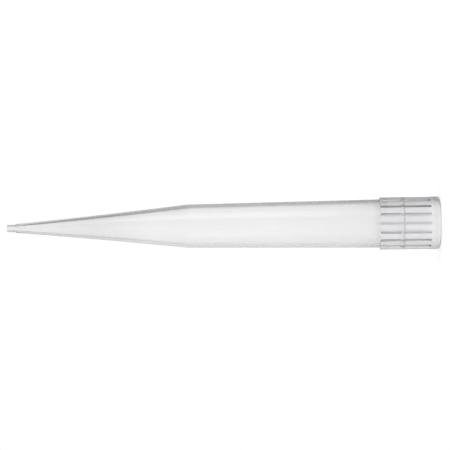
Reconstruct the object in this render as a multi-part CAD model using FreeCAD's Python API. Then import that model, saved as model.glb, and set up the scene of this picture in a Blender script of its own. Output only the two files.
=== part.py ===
"""A 1000 microlitre pipette tip, moulded in one piece from clear polypropylene.

The tip stands on its mouth: the mouth plane is z = 0, the axis is +Z and the point is uppermost.
A plain rim and a fluted collar surround the socket that the pipette's nozzle presses into. Above
the collar a thin barrel tapers to a shoulder, and a long cone runs from there to the orifice.
All sizes are in millimetres.
"""

import FreeCAD
import Part
import math
import os

from FreeCAD import Vector

# Heights, measured from the mouth plane
tip_length = 71.0
collar_length = 9.9
shoulder_height = 41.4
rim_height = 1.5  # plain band between the mouth and the ends of the flutes
parting_height = 6.0  # where the two halves of the mould meet round the collar

# Socket for the pipette's nozzle
seal_diameter = 6.95  # the cylindrical land that grips the nozzle
seal_start = 4.5
seal_length = 4.0
socket_draft_deg = 1.3  # each side, from the mouth to the seal
lead_in = 0.20  # chamfer at the mouth
socket_step = 0.125  # the seal stands this far outside the barrel's bore
socket_step_length = 1.0  # and eases in to it over this much

# Barrel and shoulder
wall = 0.615
barrel_draft_deg = 0.767  # each side
shoulder_blend = 12.0

# Cone and point
orifice_diameter = 0.70
point_wall = 0.225
point_land_length = 1.4
point_land_draft_deg = 1.8
point_step = 0.11  # the cone ends this far outside the land at the point
point_rounding = 0.05
cone_bow = 0.085  # each side of the cone bows inward by this much at its middle

# Collar
rib_height = 0.325  # ribs above the barrel, at the collar's far end
rib_end_chamfer = 0.16
rim_lip = 0.05  # the plain rim stands this far proud of the ribs
rim_rounding = 0.40
flute_count = 18
flute_width = 0.50  # across the flute at the ribs' far end; its walls slope down to its floor
flute_floor_width = 0.12
flute_floor = 0.02  # the flutes' floor above the barrel's surface at the collar's far end
flute_depth_margin = 0.05  # how far the flutes' cutter reaches past their floor and the ribs
mould_mismatch = 0.015  # the rim's half of the mould is smaller by this much
parting_bead = 0.03  # flash line, its height above the ribs
parting_bead_width = 0.30
tie_ring_width = 0.60  # low ring that ties the ribs together at the parting line
tie_ring_depth = 0.20  # its surface below the ribs
tie_ring_slope = 0.10  # how far its far side slopes

# Sizes that follow
barrel_slope = math.tan(math.radians(barrel_draft_deg))
socket_slope = math.tan(math.radians(socket_draft_deg))
land_slope = math.tan(math.radians(point_land_draft_deg))
seal_radius = seal_diameter / 2
seal_end = seal_start + seal_length
bore_radius = seal_radius - socket_step
barrel_radius = bore_radius + wall
socket_radius = seal_radius + (seal_start - lead_in) * socket_slope
rib_radius = barrel_radius + rib_height
rim_rib_radius = rib_radius - mould_mismatch
rim_radius = rim_rib_radius + rim_lip
orifice_radius = orifice_diameter / 2
point_radius = orifice_radius + point_wall
land_height = tip_length - point_land_length
land_radius = point_radius + point_land_length * land_slope
cone_height = land_height - 2 * point_step
cone_radius = land_radius + point_step
floor_radius = barrel_radius + flute_floor


def barrel_outside(height):
    """Radius of the barrel's outer cone, which runs on under the collar."""
    return barrel_radius - (height - collar_length) * barrel_slope


def point_at(radius, height, blend=0.0):
    """A corner of the profile, with the radius that rounds it."""
    return Vector(radius, 0, height), blend


def rounding(corners, i):
    """Where the rounding of corner i starts and ends, and its arc if it has one."""
    corner, blend = corners[i]
    back = (corners[i - 1][0] - corner).normalize()
    ahead = (corners[(i + 1) % len(corners)][0] - corner).normalize()
    half_turn = (math.pi - back.getAngle(ahead)) / 2
    reach = blend * math.tan(half_turn)
    start = corner + back * reach
    end = corner + ahead * reach
    if not blend:
        return start, end, []
    inward = (back + ahead).normalize()
    depth = blend * (1 / math.cos(half_turn) - 1)
    return start, end, [Part.Arc(start, corner + inward * depth, end).toShape()]


def rounded_wire(corners):
    """Closed wire through the corners, each rounded by an arc of its own radius."""
    edges = []
    for i in range(len(corners)):
        last_end = rounding(corners, i - 1)[1]
        start, end, arc = rounding(corners, i)
        edges.append(Part.LineSegment(last_end, start).toShape())
        edges += arc
    return Part.Wire(edges)


def revolved(corners):
    """Solid made by turning a closed profile about the tip's axis."""
    face = Part.Face(rounded_wire(corners))
    return face.revolve(Vector(0, 0, 0), Vector(0, 0, 1), 360)


def inner_corners():
    """The hollow, from the mouth to the orifice."""
    step_height = seal_end + socket_step_length
    shoulder_radius = barrel_outside(shoulder_height) - wall
    middle_height = (shoulder_height + cone_height) / 2
    middle_radius = (shoulder_radius + orifice_radius) / 2 - cone_bow
    return [
        point_at(socket_radius + lead_in, 0),
        point_at(socket_radius, lead_in),
        point_at(seal_radius, seal_start),
        point_at(seal_radius, seal_end),
        point_at(barrel_outside(step_height) - wall, step_height),
        point_at(shoulder_radius, shoulder_height, shoulder_blend),
        point_at(middle_radius, middle_height),
        point_at(orifice_radius, cone_height),
        point_at(orifice_radius, tip_length),
    ]


def cone_corners():
    """The outside, from the orifice down to the collar."""
    shoulder_radius = barrel_outside(shoulder_height)
    middle_height = (shoulder_height + cone_height) / 2
    middle_radius = (shoulder_radius + cone_radius) / 2 - cone_bow
    return [
        point_at(point_radius, tip_length, point_rounding),
        point_at(land_radius, land_height),
        point_at(cone_radius, cone_height),
        point_at(middle_radius, middle_height),
        point_at(shoulder_radius, shoulder_height, shoulder_blend),
        point_at(barrel_radius, collar_length),
    ]


def collar_corners():
    """The collar's outline over the ribs, down to the rounded rim."""
    half_bead = parting_bead_width / 2
    return [
        point_at(rib_radius - rib_end_chamfer, collar_length),
        point_at(rib_radius, collar_length - rib_end_chamfer),
        point_at(rib_radius, parting_height + half_bead),
        point_at(rib_radius + parting_bead, parting_height),
        point_at(rim_rib_radius, parting_height - half_bead),
        point_at(rim_rib_radius, rim_height),
        point_at(rim_radius, rim_height - rim_lip),
        point_at(rim_radius, 0, rim_rounding),
    ]


def flute_half_width(radius):
    """Half the width of a flute at that radius. The walls are straight."""
    floor_half = flute_floor_width / 2
    share = (radius - floor_radius) / (rib_radius - floor_radius)
    return floor_half + share * (flute_width / 2 - floor_half)


def flute_cutter():
    """Cutter for one flute, on the +X side of the collar.

    It is a slot with sloping walls and a round end at the rim.
    """
    start = floor_radius - flute_depth_margin
    end = rim_radius + flute_depth_margin
    nose_height = rim_height + flute_width / 2
    end_height = collar_length + flute_width
    corners = [
        Vector(start, flute_half_width(start), nose_height),
        Vector(end, flute_half_width(end), nose_height),
        Vector(end, -flute_half_width(end), nose_height),
        Vector(start, -flute_half_width(start), nose_height),
    ]
    section = Part.Face(Part.makePolygon(corners + corners[:1]))
    slot = section.extrude(Vector(0, 0, end_height - nose_height))
    nose = Part.makeCone(
        flute_half_width(start),
        flute_half_width(end),
        end - start,
        Vector(start, 0, nose_height),
        Vector(1, 0, 0),
    )
    return slot.fuse(nose).cut(Part.makeCylinder(floor_radius, end_height))


def flute_cutters():
    """The whole pattern of cutters, evenly spaced round the collar."""
    first = flute_cutter()
    cutters = []
    for i in range(flute_count):
        cutter = first.copy()
        cutter.rotate(Vector(0, 0, 0), Vector(0, 0, 1), 360 * i / flute_count)
        cutters.append(cutter)
    return cutters


def tie_ring():
    """The low ring that crosses the flutes just beyond the parting line."""
    outer = rib_radius - tie_ring_depth
    inner = barrel_outside(parting_height) - wall / 2
    top = parting_height + tie_ring_width
    return revolved([
        point_at(inner, parting_height),
        point_at(inner, top),
        point_at(outer, top - tie_ring_slope),
        point_at(outer, parting_height),
    ])


def pipette_tip():
    """The finished moulding."""
    blank = revolved(inner_corners() + cone_corners() + collar_corners())
    fluted = blank.cut(flute_cutters())
    return fluted.fuse(tie_ring())


def write(name, shape):
    """Write one sub-part as STEP."""
    shape.exportStep(f"parts/{name}.step")
    box = shape.optimalBoundingBox()
    print(f"{name}: {len(shape.Solids)} solid, {shape.Volume:.2f} mm3, valid {shape.isValid()}")
    print(f"  box {box.XLength:.3f} x {box.YLength:.3f} x {box.ZLength:.3f}")


os.makedirs("parts", exist_ok=True)
write("pipette_tip", pipette_tip())
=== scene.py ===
import math
from collections import namedtuple

import bmesh
import bpy
from mathutils import Matrix, Vector


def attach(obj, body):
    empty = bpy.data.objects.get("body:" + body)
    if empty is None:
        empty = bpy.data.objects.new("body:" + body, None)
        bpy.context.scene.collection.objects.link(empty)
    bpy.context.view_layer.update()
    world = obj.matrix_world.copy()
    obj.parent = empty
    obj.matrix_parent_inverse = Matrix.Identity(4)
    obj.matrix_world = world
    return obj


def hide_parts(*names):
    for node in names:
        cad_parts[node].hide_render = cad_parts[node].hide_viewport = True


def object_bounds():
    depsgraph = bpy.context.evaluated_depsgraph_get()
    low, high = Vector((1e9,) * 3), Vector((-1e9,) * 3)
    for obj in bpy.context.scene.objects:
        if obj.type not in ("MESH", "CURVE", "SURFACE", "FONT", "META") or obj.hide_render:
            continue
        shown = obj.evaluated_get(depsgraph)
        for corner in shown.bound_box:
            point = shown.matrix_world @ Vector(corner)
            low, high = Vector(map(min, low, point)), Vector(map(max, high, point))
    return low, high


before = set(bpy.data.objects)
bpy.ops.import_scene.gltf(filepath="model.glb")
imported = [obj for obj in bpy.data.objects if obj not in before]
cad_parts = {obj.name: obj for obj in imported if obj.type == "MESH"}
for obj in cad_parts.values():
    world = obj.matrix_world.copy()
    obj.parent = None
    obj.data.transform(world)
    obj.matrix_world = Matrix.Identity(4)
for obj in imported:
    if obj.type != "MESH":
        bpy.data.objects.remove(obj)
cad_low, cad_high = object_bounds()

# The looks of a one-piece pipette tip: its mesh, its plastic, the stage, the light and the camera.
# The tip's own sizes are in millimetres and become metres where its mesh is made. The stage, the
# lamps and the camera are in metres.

MM = 0.001

# ---------------------------------------------------------------- sizes of the moulding
TIP_LENGTH = (cad_high.z - cad_low.z) / MM
RIM_RADIUS = min(cad_high.x, cad_high.y, -cad_low.x, -cad_low.y) / MM

# Heights above the mouth
COLLAR_LENGTH = 9.9
SHOULDER_HEIGHT = 41.4
RIM_HEIGHT = 1.5  # plain band between the mouth and the ends of the flutes
PARTING_HEIGHT = 6.0  # where the two halves of the mould meet

# Socket for the pipette's nozzle
SEAL_RADIUS = 3.475
SEAL_START = 4.5
SEAL_LENGTH = 4.0
SOCKET_TAPER = 0.098  # the socket narrows by this much to the seal, each side
LEAD_IN = 0.20
SOCKET_STEP = 0.125  # from the seal in to the barrel's bore
SOCKET_STEP_LENGTH = 1.0

# Barrel, cone and point
WALL = 0.615
BARREL_SLOPE = math.tan(math.radians(0.767))
SHOULDER_REACH = 0.55  # how far the rounding of the shoulder reaches, each way
CONE_BOW = 0.085  # each side of the cone bows inward by this much at its middle
ORIFICE_RADIUS = 0.35
POINT_WALL = 0.225
POINT_ROUNDING = 0.05
LAND_LENGTH = 1.4
LAND_TAPER = 0.044
POINT_STEP = 0.11  # the cone ends this far outside the land at the point

# Collar
RIB_HEIGHT = 0.325  # ribs above the barrel, at the collar's far end
RIB_END_ROUNDING = 0.16
RIM_ROUNDING = 0.40
MOULD_MISMATCH = 0.015  # the rim's half of the mould is smaller by this much
FLUTE_COUNT = 18
FLUTE_HALF_WIDTH = 0.25
FLUTE_FLOOR = 0.02  # above the barrel's surface
BEAD_HEIGHT = 0.03  # flash at the parting line, above the ribs
BEAD_HALF_WIDTH = 0.15
RING_WIDTH = 0.60  # the tie ring crosses the flutes just beyond the parting line
RING_DEPTH = 0.20  # its surface below the ribs
RING_SLOPE = 0.10  # how far its far side slopes
FACE_GAP = 0.0005  # the mesh's rows across a flat face step down by this much

# Sizes that follow
SOCKET_RADIUS = SEAL_RADIUS + SOCKET_TAPER
SEAL_END = SEAL_START + SEAL_LENGTH
BARREL_RADIUS = SEAL_RADIUS - SOCKET_STEP + WALL
RIB_RADIUS = BARREL_RADIUS + RIB_HEIGHT
RIM_RIB_RADIUS = RIB_RADIUS - MOULD_MISMATCH
RIM_LIP = RIM_RADIUS - RIM_RIB_RADIUS
LIP_END = RIM_HEIGHT - RIM_LIP
BEAD_RADIUS = RIB_RADIUS + BEAD_HEIGHT
FLUTE_FLOOR_RADIUS = BARREL_RADIUS + FLUTE_FLOOR
RING_RADIUS = RIB_RADIUS - RING_DEPTH
RING_TOP = PARTING_HEIGHT + RING_WIDTH
POINT_RADIUS = ORIFICE_RADIUS + POINT_WALL
LAND_HEIGHT = TIP_LENGTH - LAND_LENGTH
LAND_RADIUS = POINT_RADIUS + LAND_TAPER
CONE_HEIGHT = LAND_HEIGHT - 2 * POINT_STEP
CONE_RADIUS = LAND_RADIUS + POINT_STEP

# ---------------------------------------------------------------- finish and painted shade by height
# Shade is how far a place turns to the grey of the painted shade, where 1 is all the way:
# painted shade in the grooves and along the parting line, plain greying on the rim, barrel and
# cone. Satin is its roughness. Both follow the height above the mouth, as (height, value) stops
# from the lowest up.
OUTSIDE_SATIN = [
    (0.0, 0.05), (LAND_HEIGHT - 0.3, 0.05), (LAND_HEIGHT, 0.25), (TIP_LENGTH, 0.25),
]
INSIDE_SATIN = [
    (0.0, 0.35), (9.0, 0.35), (14.0, 0.18), (SHOULDER_HEIGHT, 0.16), (66.0, 0.08),
    (TIP_LENGTH, 0.35),
]
COLLAR_SATIN, GROOVE_SATIN = 0.08, 0.25
OUTSIDE_SHADE = [  # beyond the collar
    (0.0, 0.23), (15.0, 0.23), (20.0, 0.19), (28.0, 0.13), (38.0, 0.14), (47.0, 0.13), (57.0, 0.38),
    (62.0, 0.30), (69.0, 0.26), (TIP_LENGTH, 0.16),
]
RIB_SHADE = [  # greyer on the rim, and painted shade along the parting line
    (0.0, 0.0), (RIM_ROUNDING, 0.0), (RIM_ROUNDING + 0.05, 0.24),
    (RIM_HEIGHT - 0.30, 0.24), (RIM_HEIGHT - 0.08, 0.0),
    (PARTING_HEIGHT - 0.20, 0.0),
    (PARTING_HEIGHT - BEAD_HALF_WIDTH, 0.5),
    (PARTING_HEIGHT - BEAD_HALF_WIDTH / 2, 1.0),
    (PARTING_HEIGHT + BEAD_HALF_WIDTH / 2, 1.0),
    (PARTING_HEIGHT + BEAD_HALF_WIDTH, 0.5),
    (PARTING_HEIGHT + 0.18, 0.0),
]
# Painted shade in the grooves
FLUTE_SHADE = [  # stronger at the parting line and the far end, and a little less on the tie ring
    (0.0, 1.0), (PARTING_HEIGHT - 0.20, 1.0),
    (PARTING_HEIGHT - BEAD_HALF_WIDTH, 1.1),
    (PARTING_HEIGHT - BEAD_HALF_WIDTH / 2, 1.3),
    (PARTING_HEIGHT + BEAD_HALF_WIDTH / 2, 1.3),
    (PARTING_HEIGHT + BEAD_HALF_WIDTH, 1.1),
    (PARTING_HEIGHT + 0.18, 0.9), (RING_TOP - 0.07, 0.9), (RING_TOP, 0.95), (RING_TOP + 0.04, 0.95),
    (COLLAR_LENGTH - 2.9, 1.0), (COLLAR_LENGTH - 0.6, 1.0), (COLLAR_LENGTH - 0.3, 1.2),
    (COLLAR_LENGTH - 0.17, 1.3), (COLLAR_LENGTH - 2 * FACE_GAP, 1.3),
    (COLLAR_LENGTH - FACE_GAP, 1.2), (COLLAR_LENGTH, 0.5), (COLLAR_LENGTH + 0.008, 0.0),
]

# ---------------------------------------------------------------- columns of the mesh
# Half of a flute's section: how far each column is from the flute's middle, and its share of the
# flute's depth.
HALF_FLUTE = [
    (0.0, 1.0), (0.045, 1.0), (0.07, 0.94), (0.11, 0.74), (0.20, 0.27), (0.235, 0.08), (0.255, 0.0),
]
RIB_COLUMNS = 4  # from a flute's edge to the middle of the rib beside it
HALF_COLUMNS = len(HALF_FLUTE) - 1 + RIB_COLUMNS
HALF_PERIOD = math.pi / FLUTE_COUNT
GROOVE_GAIN = 1.6  # a groove's painted shade and satin are complete before its full depth
SHARP_ANGLE = math.radians(50)

# A row of the mesh goes once round the tip. Its radius is that of the ribs, or the floor's in the
# flutes. Squeeze narrows the flutes towards their noses, and even spreads the columns evenly
# where there are no flutes. The last three are the grey share in the flutes and on the ribs, which
# holds the painted shade and the greying by height, and the satin.
Row = namedtuple("Row", "height rib floor squeeze even flute_shade rib_shade satin")


def column_angle(side, radius, squeeze):
    """Angle of a column from the middle of its flute. Side numbers the columns both ways."""
    steps = abs(side)
    if steps < len(HALF_FLUTE):
        angle = math.asin(HALF_FLUTE[steps][0] * squeeze / radius)
    else:
        edge = HALF_FLUTE[-1][0] * squeeze / RIB_RADIUS
        share = (steps - len(HALF_FLUTE) + 1) / RIB_COLUMNS
        angle = edge + share * (HALF_PERIOD - edge)
    return math.copysign(angle, side)


def ring_of(row):
    """The vertices of one row: their places, and how deep in a flute each is, from 0 to 1."""
    points, depths = [], []
    for flute in range(FLUTE_COUNT):
        for side in range(1 - HALF_COLUMNS, HALF_COLUMNS + 1):
            depth, radius, reference = 0.0, row.rib, RIB_RADIUS
            if row.floor:
                depth = HALF_FLUTE[abs(side)][1] if abs(side) < len(HALF_FLUTE) else 0.0
                radius = reference = row.rib - depth * (row.rib - row.floor)
            evenly = side * HALF_PERIOD / HALF_COLUMNS
            turn = column_angle(side, reference, row.squeeze)
            angle = flute * 2 * HALF_PERIOD + turn + row.even * (evenly - turn)
            points.append((radius * math.cos(angle), radius * math.sin(angle), row.height))
            depths.append(depth)
    return points, depths


# ---------------------------------------------------------------- rows of the mesh
CONE_STEPS, BARREL_STEPS, SEAL_STEPS, RIM_STEPS = 22, 18, 4, 4
CURVE_STEPS = 6  # round the shoulder, down the socket and over the step at its end
LAND_HEIGHTS = (TIP_LENGTH - 0.5, TIP_LENGTH - 1.0, LAND_HEIGHT + 0.04)
# Rows along the flutes beyond the tie ring, and from the parting line down to the noses
FAR_FLUTE_HEIGHTS = [COLLAR_LENGTH - below for below in (0.3, 0.6, 1.1, 1.7, 2.3, 2.9)]
NEAR_FLUTE_HEIGHTS = [PARTING_HEIGHT - below for below in (0.8, 1.5, 2.2, 2.9, 3.5, 3.9)]
NOSE_DEGREES = (90, 72, 55, 40, 27, 16, 8)  # rows round the end of each flute
NOSE_TIP = math.sin(math.radians(NOSE_DEGREES[-1]))

# The ribs' radius by height. They swell at the parting line and change size there.
RIB_OUTLINE = [
    (0.0, RIM_RIB_RADIUS), (PARTING_HEIGHT - BEAD_HALF_WIDTH, RIM_RIB_RADIUS),
    (PARTING_HEIGHT, BEAD_RADIUS), (PARTING_HEIGHT + BEAD_HALF_WIDTH, RIB_RADIUS),
]
# Rows at corners, as (height, radius). Each corner is eased by a few hundredths at most.
POINT_CORNERS = [
    (LAND_HEIGHT, LAND_RADIUS + 0.006),
    ((LAND_HEIGHT + CONE_HEIGHT) / 2, (LAND_RADIUS + CONE_RADIUS) / 2),
    (CONE_HEIGHT, CONE_RADIUS - 0.004),
]
END_CORNERS = [  # the height, and the radii of the ribs and of the flutes' floor
    (COLLAR_LENGTH + 0.008, BARREL_RADIUS + 0.006, BARREL_RADIUS + 0.004),
    (COLLAR_LENGTH, BARREL_RADIUS + 0.05, BARREL_RADIUS + 0.015),
    (COLLAR_LENGTH - FACE_GAP, RIB_RADIUS - RIB_END_ROUNDING - 0.05, FLUTE_FLOOR_RADIUS),
]
RING_CORNERS = [  # the radius is that of the flutes' floor
    (RING_TOP + 0.04, FLUTE_FLOOR_RADIUS),
    (RING_TOP, FLUTE_FLOOR_RADIUS + 0.02),
    (RING_TOP - 0.7 * RING_SLOPE, RING_RADIUS - 0.05),
    (RING_TOP - RING_SLOPE, RING_RADIUS - 0.012),
    (RING_TOP - RING_SLOPE - 0.03, RING_RADIUS),
    (PARTING_HEIGHT + BEAD_HALF_WIDTH + 0.03, RING_RADIUS),
    (PARTING_HEIGHT + BEAD_HALF_WIDTH, RING_RADIUS),
    (PARTING_HEIGHT + BEAD_HALF_WIDTH / 2, RING_RADIUS),
    (PARTING_HEIGHT + 0.02, RING_RADIUS),
    (PARTING_HEIGHT + 0.004, RING_RADIUS - 0.012),
    (PARTING_HEIGHT, FLUTE_FLOOR_RADIUS + 0.02),
    (PARTING_HEIGHT - 0.03, FLUTE_FLOOR_RADIUS),
    (PARTING_HEIGHT - BEAD_HALF_WIDTH / 2, FLUTE_FLOOR_RADIUS),
    (PARTING_HEIGHT - BEAD_HALF_WIDTH, FLUTE_FLOOR_RADIUS),
    (PARTING_HEIGHT - 0.20, FLUTE_FLOOR_RADIUS),
]
LIP_CORNERS = [  # the last number is how evenly the columns are spread
    (RIM_HEIGHT - FACE_GAP, RIM_RIB_RADIUS, 0.0),
    (RIM_HEIGHT - RIM_LIP / 2, RIM_RIB_RADIUS + RIM_LIP / 2, 0.05),
    (LIP_END, RIM_RADIUS - 0.004, 0.10),
    (LIP_END - 0.03, RIM_RADIUS, 0.15),
]
MOUTH_CORNERS = [
    (0.0, SOCKET_RADIUS + LEAD_IN + 0.02),
    (0.015, SOCKET_RADIUS + LEAD_IN - 0.01),
    (LEAD_IN - 0.02, SOCKET_RADIUS + 0.02),
    (LEAD_IN + 0.03, SOCKET_RADIUS),
]
ORIFICE_CORNERS = [
    (CONE_HEIGHT, ORIFICE_RADIUS + 0.002),
    (CONE_HEIGHT + 0.1, ORIFICE_RADIUS),
    (TIP_LENGTH - 0.5, ORIFICE_RADIUS),
    (TIP_LENGTH - 0.02, ORIFICE_RADIUS),
    (TIP_LENGTH - 0.006, ORIFICE_RADIUS + 0.006),
    (TIP_LENGTH, ORIFICE_RADIUS + 0.02),
]


def between(stops, height):
    """The value at a height, from (height, value) stops."""
    for (low, below), (high, above) in zip(stops, stops[1:]):
        if height <= high:
            return below + (above - below) * (height - low) / (high - low)
    return stops[-1][1]


def spread(first, last, steps):
    """Evenly spaced values after the first, up to the last."""
    return [first + (last - first) * i / steps for i in range(1, steps + 1)]


def rounded_edge(height, radius, rounding, steps):
    """Round the edge of an end face, from the face to the side, as (height, radius)."""
    angles = [0.0] + spread(0.0, math.pi / 2, steps)
    return [
        (height - rounding * (1 - math.cos(a)), radius - rounding * (1 - math.sin(a)))
        for a in angles
    ]


def plain_row(height, radius, satin, shade=0.0):
    """A row that goes round at one radius."""
    return Row(height, radius, None, 1.0, 1.0, shade, shade, satin)


def collar_row(height, rib, floor=None, squeeze=1.0, even=0.0):
    """A row of the collar. Without a floor it has no flutes."""
    flute_shade, rib_shade = between(FLUTE_SHADE, height), between(RIB_SHADE, height)
    return Row(height, rib, floor, squeeze, even, flute_shade, rib_shade, COLLAR_SATIN)


def barrel_outside(height):
    return BARREL_RADIUS - (height - COLLAR_LENGTH) * BARREL_SLOPE


def barrel_bore(height):
    return barrel_outside(height) - WALL


def cone_rows(top_radius, barrel_line):
    """From the point's step down to the shoulder and round it, as (height, radius)."""
    low_radius = barrel_line(SHOULDER_HEIGHT)
    rows = []
    for height in spread(CONE_HEIGHT, SHOULDER_HEIGHT + SHOULDER_REACH, CONE_STEPS):
        t = (CONE_HEIGHT - height) / (CONE_HEIGHT - SHOULDER_HEIGHT)
        straight = top_radius + (low_radius - top_radius) * t
        rows.append((height, straight - 4 * CONE_BOW * t * (1 - t)))
    first, corner = rows[-1], (SHOULDER_HEIGHT, low_radius)
    last_height = SHOULDER_HEIGHT - SHOULDER_REACH
    last = (last_height, barrel_line(last_height))
    for t in spread(0.0, 1.0, CURVE_STEPS):
        rows.append(tuple(
            (1 - t) ** 2 * a + 2 * t * (1 - t) * b + t * t * c
            for a, b, c in zip(first, corner, last)
        ))
    return rows


def outside_rows():
    """From the orifice's outer edge down to the far end of the collar."""
    rows = rounded_edge(TIP_LENGTH, POINT_RADIUS, POINT_ROUNDING, steps=4)
    for height in LAND_HEIGHTS:
        share = (TIP_LENGTH - height) / LAND_LENGTH
        rows.append((height, POINT_RADIUS + share * LAND_TAPER))
    rows += POINT_CORNERS
    rows += cone_rows(CONE_RADIUS, barrel_outside)
    for height in spread(SHOULDER_HEIGHT - SHOULDER_REACH, COLLAR_LENGTH + 0.05, BARREL_STEPS):
        rows.append((height, barrel_outside(height)))
    return [
        plain_row(height, radius, between(OUTSIDE_SATIN, height), between(OUTSIDE_SHADE, height))
        for height, radius in rows
    ]


def collar_end_rows():
    """From the barrel out over the collar's end face and the ribs' rounded ends."""
    edge = rounded_edge(COLLAR_LENGTH - 2 * FACE_GAP, RIB_RADIUS, RIB_END_ROUNDING, steps=5)
    rows = END_CORNERS + [(height, radius, FLUTE_FLOOR_RADIUS) for height, radius in edge]
    return [collar_row(*row) for row in rows]


def flute_rows():
    """Down the flutes, over the tie ring and the parting line, and round the flutes' noses."""
    floors = [(height, FLUTE_FLOOR_RADIUS) for height in FAR_FLUTE_HEIGHTS]
    floors += RING_CORNERS
    floors += [(height, FLUTE_FLOOR_RADIUS) for height in NEAR_FLUTE_HEIGHTS]
    rows = [collar_row(height, between(RIB_OUTLINE, height), floor) for height, floor in floors]
    nose = RIM_HEIGHT + FLUTE_HALF_WIDTH
    for degrees in NOSE_DEGREES:
        a = math.radians(degrees)
        height = nose - FLUTE_HALF_WIDTH * math.cos(a)
        rows.append(collar_row(height, RIM_RIB_RADIUS, FLUTE_FLOOR_RADIUS, squeeze=math.sin(a)))
    return rows


def rim_rows():
    """From the flutes' noses over the lip, down the plain rim and round the mouth's edge."""
    start, _, start_even = LIP_CORNERS[-1]
    heights = spread(start, RIM_ROUNDING + 0.05, RIM_STEPS)
    band = [(h, RIM_RADIUS, even) for h, even in zip(heights, spread(start_even, 1.0, RIM_STEPS))]
    rows = [
        collar_row(height, radius, squeeze=NOSE_TIP, even=even)
        for height, radius, even in LIP_CORNERS + band
    ]
    mouth_edge = rounded_edge(0.0, RIM_RADIUS, RIM_ROUNDING, steps=8)
    return rows + [plain_row(-height, radius, COLLAR_SATIN) for height, radius in mouth_edge[::-1]]


def inside_rows():
    """From the mouth up the hollow to the orifice."""
    step_end = SEAL_END + SOCKET_STEP_LENGTH
    rows = MOUTH_CORNERS + list(zip(
        spread(LEAD_IN, SEAL_START, CURVE_STEPS), spread(SOCKET_RADIUS, SEAL_RADIUS, CURVE_STEPS)
    ))
    rows += [(height, SEAL_RADIUS) for height in spread(SEAL_START, SEAL_END, SEAL_STEPS)]
    for t in spread(0.0, 1.0, CURVE_STEPS):
        ease = t * t * (3 - 2 * t)
        rows.append((
            SEAL_END + t * SOCKET_STEP_LENGTH,
            SEAL_RADIUS + ease * (barrel_bore(step_end) - SEAL_RADIUS),
        ))
    cone = cone_rows(ORIFICE_RADIUS, barrel_bore)
    for height in spread(step_end, cone[-1][0], BARREL_STEPS)[:-1]:
        rows.append((height, barrel_bore(height)))
    rows += cone[::-1] + ORIFICE_CORNERS
    return [plain_row(height, radius, between(INSIDE_SATIN, height)) for height, radius in rows]


def build_tip():
    """The whole moulding as one closed mesh."""
    rows = outside_rows() + collar_end_rows() + flute_rows() + rim_rows() + inside_rows()
    mesh = bmesh.new()
    grid, shades, satins = [], [], []
    for row in rows:
        points, depths = ring_of(row)
        grid.append([mesh.verts.new([c * MM for c in p]) for p in points])
        for depth in depths:
            # painted shade: the deeper in a flute, the more it turns to grey
            groove = min(1.0, GROOVE_GAIN * depth)
            shades.append(row.rib_shade + groove * (row.flute_shade - row.rib_shade))
            satins.append(row.satin + groove * (GROOVE_SATIN - row.satin))
    for ring, following in zip(grid, grid[1:] + grid[:1]):
        for j in range(len(ring)):
            k = (j + 1) % len(ring)
            mesh.faces.new((ring[j], following[j], following[k], ring[k]))
    bmesh.ops.recalc_face_normals(mesh, faces=mesh.faces)
    for face in mesh.faces:
        face.smooth = True
    data = bpy.data.meshes.new("tip_moulding")
    mesh.to_mesh(data)
    mesh.free()
    data.set_sharp_from_angle(angle=SHARP_ANGLE)
    data.attributes.new("shade", "FLOAT", "POINT").data.foreach_set("value", shades)
    data.attributes.new("satin", "FLOAT", "POINT").data.foreach_set("value", satins)
    tip = bpy.data.objects.new("tip_moulding", data)
    bpy.context.scene.collection.objects.link(tip)
    return tip


# ---------------------------------------------------------------- nodes
WHITE = (1, 1, 1, 1)


def fresh_tree(owner):
    """The empty node tree of a material or world."""
    owner.use_nodes = True
    owner.node_tree.nodes.clear()
    return owner.node_tree


def node(tree, kind, inputs=(), **settings):
    """A new node. Each of its inputs, by name or number, takes a plain value or a socket."""
    made = tree.nodes.new(kind)
    for name, value in settings.items():
        setattr(made, name, value)
    for name, value in dict(inputs).items():
        if isinstance(value, bpy.types.NodeSocket):
            tree.links.new(value, made.inputs[name])
        else:
            made.inputs[name].default_value = value
    return made


def combined(tree, operation, first, second):
    """A sum, comparison or other maths on two values."""
    return node(tree, "ShaderNodeMath", {0: first, 1: second}, operation=operation).outputs[0]


def mixed(tree, share, first, second, blend="MIX"):
    """The first colour where the share is 0, and the second where it is 1."""
    colours = {"Factor": share, "A": first, "B": second}
    mix = node(tree, "ShaderNodeMix", colours, data_type="RGBA", blend_type=blend)
    return mix.outputs["Result"]


def mixed_shaders(tree, share, first, second):
    """The first shader where the share is 0, and the second where it is 1."""
    return node(tree, "ShaderNodeMixShader", {0: share, 1: first, 2: second}).outputs[0]


def ranged(tree, value, span, results=(0.0, 1.0)):
    """A value that goes evenly from one result to the other as the given one crosses a span."""
    return node(tree, "ShaderNodeMapRange", {
        "Value": value, "From Min": span[0], "From Max": span[1],
        "To Min": results[0], "To Max": results[1],
    }).outputs["Result"]


# ---------------------------------------------------------------- plastic
REFRACTION = 1.49
TRANSMISSION = 0.99
ABSORBED_TONE, ABSORPTION = (0.5, 0.5, 0.51, 1), 20.0
MILKY_TONE = (0.98, 0.98, 0.984, 1)
# the grey of the painted shade in the grooves and along the parting line; the rim, barrel and cone
# turn a little toward it too
PAINTED_SHADE_GREY = (0.58, 0.58, 0.60, 1)
COLLAR_TINT = (0.993, 0.991, 1.0, 1)
TINT_FADE = [(COLLAR_LENGTH + above) * MM for above in (0.1, 0.2)]  # metres
CLOUD = {"Scale": 260.0, "Detail": 3.0, "Roughness": 0.5}
CLOUD_STRETCH = (1.0, 1.0, 0.12)  # the plastic flowed along the tip
CLOUD_SPAN, SATIN_GRAIN = (0.3, 0.7), (-0.02, 0.02)  # what the cloud adds to the satin


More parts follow.
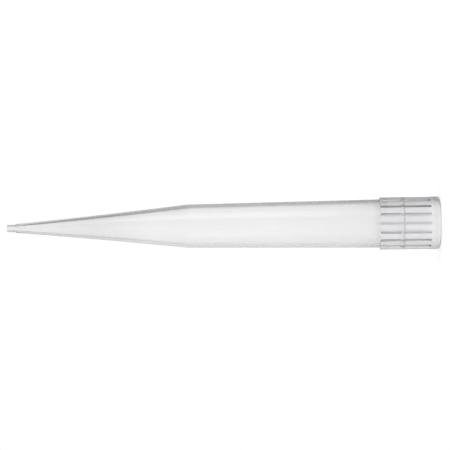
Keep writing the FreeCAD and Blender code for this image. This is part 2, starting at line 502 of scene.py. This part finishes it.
def polypropylene():
    """Natural polypropylene: clear, a little milky, with a faint satin from the mould.

    The grooves and the parting line are greyer with painted shade, and the cone is a little
    greyer. The collar has a very faint violet tint.
    """
    material = bpy.data.materials.new("natural_polypropylene")
    tree = fresh_tree(material)
    place = node(tree, "ShaderNodeTexCoord").outputs["Object"]
    stretched = node(tree, "ShaderNodeMapping", {"Vector": place, "Scale": CLOUD_STRETCH})
    cloud = node(
        tree, "ShaderNodeTexNoise", {"Vector": stretched.outputs["Vector"], **CLOUD}
    ).outputs["Fac"]
    shade = node(tree, "ShaderNodeAttribute", attribute_name="shade").outputs["Fac"]
    satin = node(tree, "ShaderNodeAttribute", attribute_name="satin").outputs["Fac"]
    # painted shade in the grooves and along the parting line, and greying by height, both from the
    # shade attribute
    shaded = mixed(tree, shade, mixed(tree, cloud, MILKY_TONE, WHITE), PAINTED_SHADE_GREY)
    height = node(tree, "ShaderNodeSeparateXYZ", {"Vector": place}).outputs["Z"]
    on_collar = ranged(tree, height, TINT_FADE, (1.0, 0.0))
    shader = node(tree, "ShaderNodeBsdfPrincipled", {
        "Base Color": mixed(tree, on_collar, shaded, COLLAR_TINT, blend="MULTIPLY"),
        "Roughness": combined(tree, "ADD", ranged(tree, cloud, CLOUD_SPAN, SATIN_GRAIN), satin),
        "IOR": REFRACTION,
        "Transmission Weight": TRANSMISSION,
    })
    volume = node(tree, "ShaderNodeVolumeAbsorption", {
        "Color": ABSORBED_TONE, "Density": ABSORPTION,
    })
    node(tree, "ShaderNodeOutputMaterial", {
        "Surface": shader.outputs["BSDF"], "Volume": volume.outputs["Volume"],
    })
    return material


# ---------------------------------------------------------------- stage, light and camera
VIEW_DISTANCE = 0.460
VIEW_AZIMUTH = math.radians(-9.9)  # turned from -Y so that a flute nearly faces the camera
VIEW_ROLL = math.radians(0.78)
FIELD_OF_VIEW = math.radians(9.18)
AIM_HEIGHT = 0.03524  # where on the tip the camera and the lamps aim
AIM_OFFSET = 0.000108  # up the camera's view from there

toward_camera = Vector((math.sin(VIEW_AZIMUTH), -math.cos(VIEW_AZIMUTH), 0))
dark_side = Vector((math.cos(VIEW_AZIMUTH), math.sin(VIEW_AZIMUTH), 0))

# How bright the studio looks through the tip and mirrored in it, as (across, brightness) stops.
# Across goes from -1 to 1, where 1 is straight towards the dark side.
SURROUNDINGS = [  # level with the tip, and on the floor far out
    (-1.0, 0.6), (-0.7, 0.85), (-0.2, 0.95), (0.0, 0.82), (0.2, 0.65), (0.45, 0.52), (0.9, 0.7),
]
RAISED = [  # higher up
    (-1.0, 0.55), (-0.6, 0.78), (-0.2, 0.82), (0.0, 0.7), (0.3, 0.42), (0.6, 0.3), (0.9, 0.25),
]
NEAR_FLOOR = [  # on the floor round the tip
    (-1.0, 0.9), (-0.3, 0.86), (0.0, 0.8), (0.2, 0.5), (0.5, 0.45), (0.9, 0.6),
]
UNDER_TIP = [(-1.0, 0.9), (1.0, 0.35)]  # on the floor close to the mouth
RAISED_SPAN = (0.0, 0.16)  # how far up a direction points where the level studio turns to raised
# How far from the tip's axis the floor turns from white to the tone close to the mouth, from that
# to the near floor, and from that to the far floor
WHITE_REACH, UNDER_REACH, NEAR_REACH = (0.0055, 0.009), (0.02, 0.06), (0.15, 0.35)

AMBIENT = 0.8
BOTH_WALLS = 2.5  # a wall has two surfaces, so light that has crossed more has crossed both walls
FLOOR_SIZE = 6.0
FLOOR_DROP = 0.00002  # keeps the floor just clear of the mouth
PAPER, PAPER_GLOW = (0.5, 0.5, 0.5, 1), 0.6  # what the camera sees: white, with a pale shadow
PALE_PAPER = (0.9, 0.9, 0.9, 1)
LAMP_DISTANCE = 0.9


def ray_kinds(tree):
    """Three masks: rays from the camera, rays that see the stage, and those that see it white.

    White is what the camera sees, also straight through both walls of the tip. Reflections, and
    light that turns inside the wall, see how the studio darkens at its sides.
    """
    path = node(tree, "ShaderNodeLightPath").outputs
    through = combined(tree, "GREATER_THAN", path["Transmission Depth"], BOTH_WALLS)
    white = combined(tree, "MAXIMUM", path["Is Camera Ray"], through)
    turned = combined(tree, "MAXIMUM", path["Is Glossy Ray"], path["Is Transmission Ray"])
    return path["Is Camera Ray"], combined(tree, "MAXIMUM", white, turned), white


def along(tree, vector, axis):
    """How far a vector goes along an axis."""
    product = node(tree, "ShaderNodeVectorMath", {0: vector, 1: axis}, operation="DOT_PRODUCT")
    return product.outputs["Value"]


def brightness_ramp(tree, across, stops):
    """A grey that follows how far across the stage a place lies."""
    share = ranged(tree, across, (-1.0, 1.0))
    ramp = node(tree, "ShaderNodeValToRGB", {"Fac": share})
    elements = ramp.color_ramp.elements
    while len(elements) < len(stops):
        elements.new(0.5)
    for element, (at, level) in zip(elements, stops):
        element.position = (at + 1) / 2
        element.color = (level, level, level, 1)
    return ramp.outputs["Color"]


def make_world():
    """A pale studio that darkens to its sides, most to one of them and higher up.

    Only what is seen through the tip or mirrored in it has that pattern. To the camera the
    studio is white, and its light on the floor is even.
    """
    world = bpy.data.worlds.new("studio")
    bpy.context.scene.world = world
    tree = fresh_tree(world)
    direction = node(tree, "ShaderNodeTexCoord").outputs["Generated"]
    across = along(tree, direction, dark_side)
    rise = along(tree, direction, Vector((0, 0, 1)))
    around = mixed(
        tree, ranged(tree, rise, RAISED_SPAN),
        brightness_ramp(tree, across, SURROUNDINGS), brightness_ramp(tree, across, RAISED),
    )
    _, seen_rays, white_rays = ray_kinds(tree)
    seen = node(tree, "ShaderNodeBackground", {"Color": mixed(tree, white_rays, around, WHITE)})
    lighting = node(tree, "ShaderNodeBackground", {"Color": WHITE, "Strength": AMBIENT})
    surface = mixed_shaders(tree, seen_rays, lighting.outputs[0], seen.outputs[0])
    node(tree, "ShaderNodeOutputWorld", {"Surface": surface})


def floor_paper():
    """White paper to the camera, with the tip's shadow on it.

    Seen through the tip or mirrored in it, the floor is white at the mouth, and further out it
    darkens to its sides as the studio does. Any other light meets pale paper.
    """
    material = bpy.data.materials.new("floor")
    tree = fresh_tree(material)
    place = node(tree, "ShaderNodeTexCoord").outputs["Object"]
    outward = node(tree, "ShaderNodeVectorMath", {0: place}, operation="NORMALIZE")
    across = along(tree, outward.outputs["Vector"], dark_side)
    distance = node(tree, "ShaderNodeVectorMath", {0: place}, operation="LENGTH").outputs["Value"]
    sides = brightness_ramp(tree, across, SURROUNDINGS)
    for reach, tone in (
        (NEAR_REACH, brightness_ramp(tree, across, NEAR_FLOOR)),
        (UNDER_REACH, brightness_ramp(tree, across, UNDER_TIP)),
        (WHITE_REACH, WHITE),
    ):
        sides = mixed(tree, ranged(tree, distance, reach), tone, sides)
    camera_rays, seen_rays, white_rays = ray_kinds(tree)
    paper = node(tree, "ShaderNodeBsdfDiffuse", {"Color": PAPER})
    glow = node(tree, "ShaderNodeEmission", {"Color": WHITE, "Strength": PAPER_GLOW})
    lit = node(tree, "ShaderNodeAddShader", {0: paper.outputs[0], 1: glow.outputs[0]})
    backdrop = node(tree, "ShaderNodeEmission", {"Color": mixed(tree, white_rays, sides, WHITE)})
    pale = node(tree, "ShaderNodeBsdfDiffuse", {"Color": PALE_PAPER})
    unseen = mixed_shaders(tree, seen_rays, pale.outputs[0], backdrop.outputs[0])
    surface = mixed_shaders(tree, camera_rays, unseen, lit.outputs[0])
    node(tree, "ShaderNodeOutputMaterial", {"Surface": surface})
    return material


def make_floor():
    """A plain white floor under the mouth."""
    mesh = bmesh.new()
    bmesh.ops.create_circle(mesh, cap_ends=True, segments=96, radius=FLOOR_SIZE)
    data = bpy.data.meshes.new("floor")
    mesh.to_mesh(data)
    mesh.free()
    floor = bpy.data.objects.new("floor", data)
    floor.location.z = cad_low.z - FLOOR_DROP
    bpy.context.scene.collection.objects.link(floor)
    floor.data.materials.append(floor_paper())


def soft_box(name, azimuth, elevation, width, height, level):
    """A lamp aimed at the tip's middle, as bright as level times white.

    Its azimuth is from the camera's, and both angles are in degrees.
    """
    data = bpy.data.lights.new(name, "AREA")
    data.shape = "RECTANGLE"
    data.size, data.size_y = width, height
    data.energy = level * math.pi * width * height
    lamp = bpy.data.objects.new(name, data)
    a, e = math.radians(azimuth) + VIEW_AZIMUTH, math.radians(elevation)
    away = Vector((math.sin(a) * math.cos(e), -math.cos(a) * math.cos(e), math.sin(e)))
    lamp.location = Vector((0, 0, AIM_HEIGHT)) + away * LAMP_DISTANCE
    lamp.rotation_mode = "QUATERNION"
    lamp.rotation_quaternion = (-away).to_track_quat("-Z", "Y")
    bpy.context.scene.collection.objects.link(lamp)


def make_camera():
    """Level with the tip's middle, rolled so that the tip lies across the picture, point left."""
    data = bpy.data.cameras.new("camera")
    data.lens = data.sensor_width / 2 / math.tan(FIELD_OF_VIEW / 2)
    data.clip_start, data.clip_end = 0.01, 20.0
    camera = bpy.data.objects.new("camera", data)
    bpy.context.scene.collection.objects.link(camera)
    down = Vector((0, 0, -1))
    right = down * math.cos(VIEW_ROLL) - dark_side * math.sin(VIEW_ROLL)
    up = down * math.sin(VIEW_ROLL) + dark_side * math.cos(VIEW_ROLL)
    aim = Vector((0, 0, AIM_HEIGHT)) + up * AIM_OFFSET
    placing = Matrix((right, up, toward_camera)).transposed().to_4x4()
    placing.translation = aim + toward_camera * VIEW_DISTANCE
    camera.matrix_world = placing
    bpy.context.scene.camera = camera


tip = build_tip()
tip.data.materials.append(polypropylene())
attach(tip, "root")
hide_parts("pipette_tip")

make_world()
make_floor()
soft_box("key", azimuth=56, elevation=6, width=0.5, height=0.26, level=1.0)
soft_box("overhead", azimuth=20, elevation=70, width=0.5, height=0.5, level=1.2)
make_camera()
bpy.context.scene.view_settings.view_transform = "Standard"
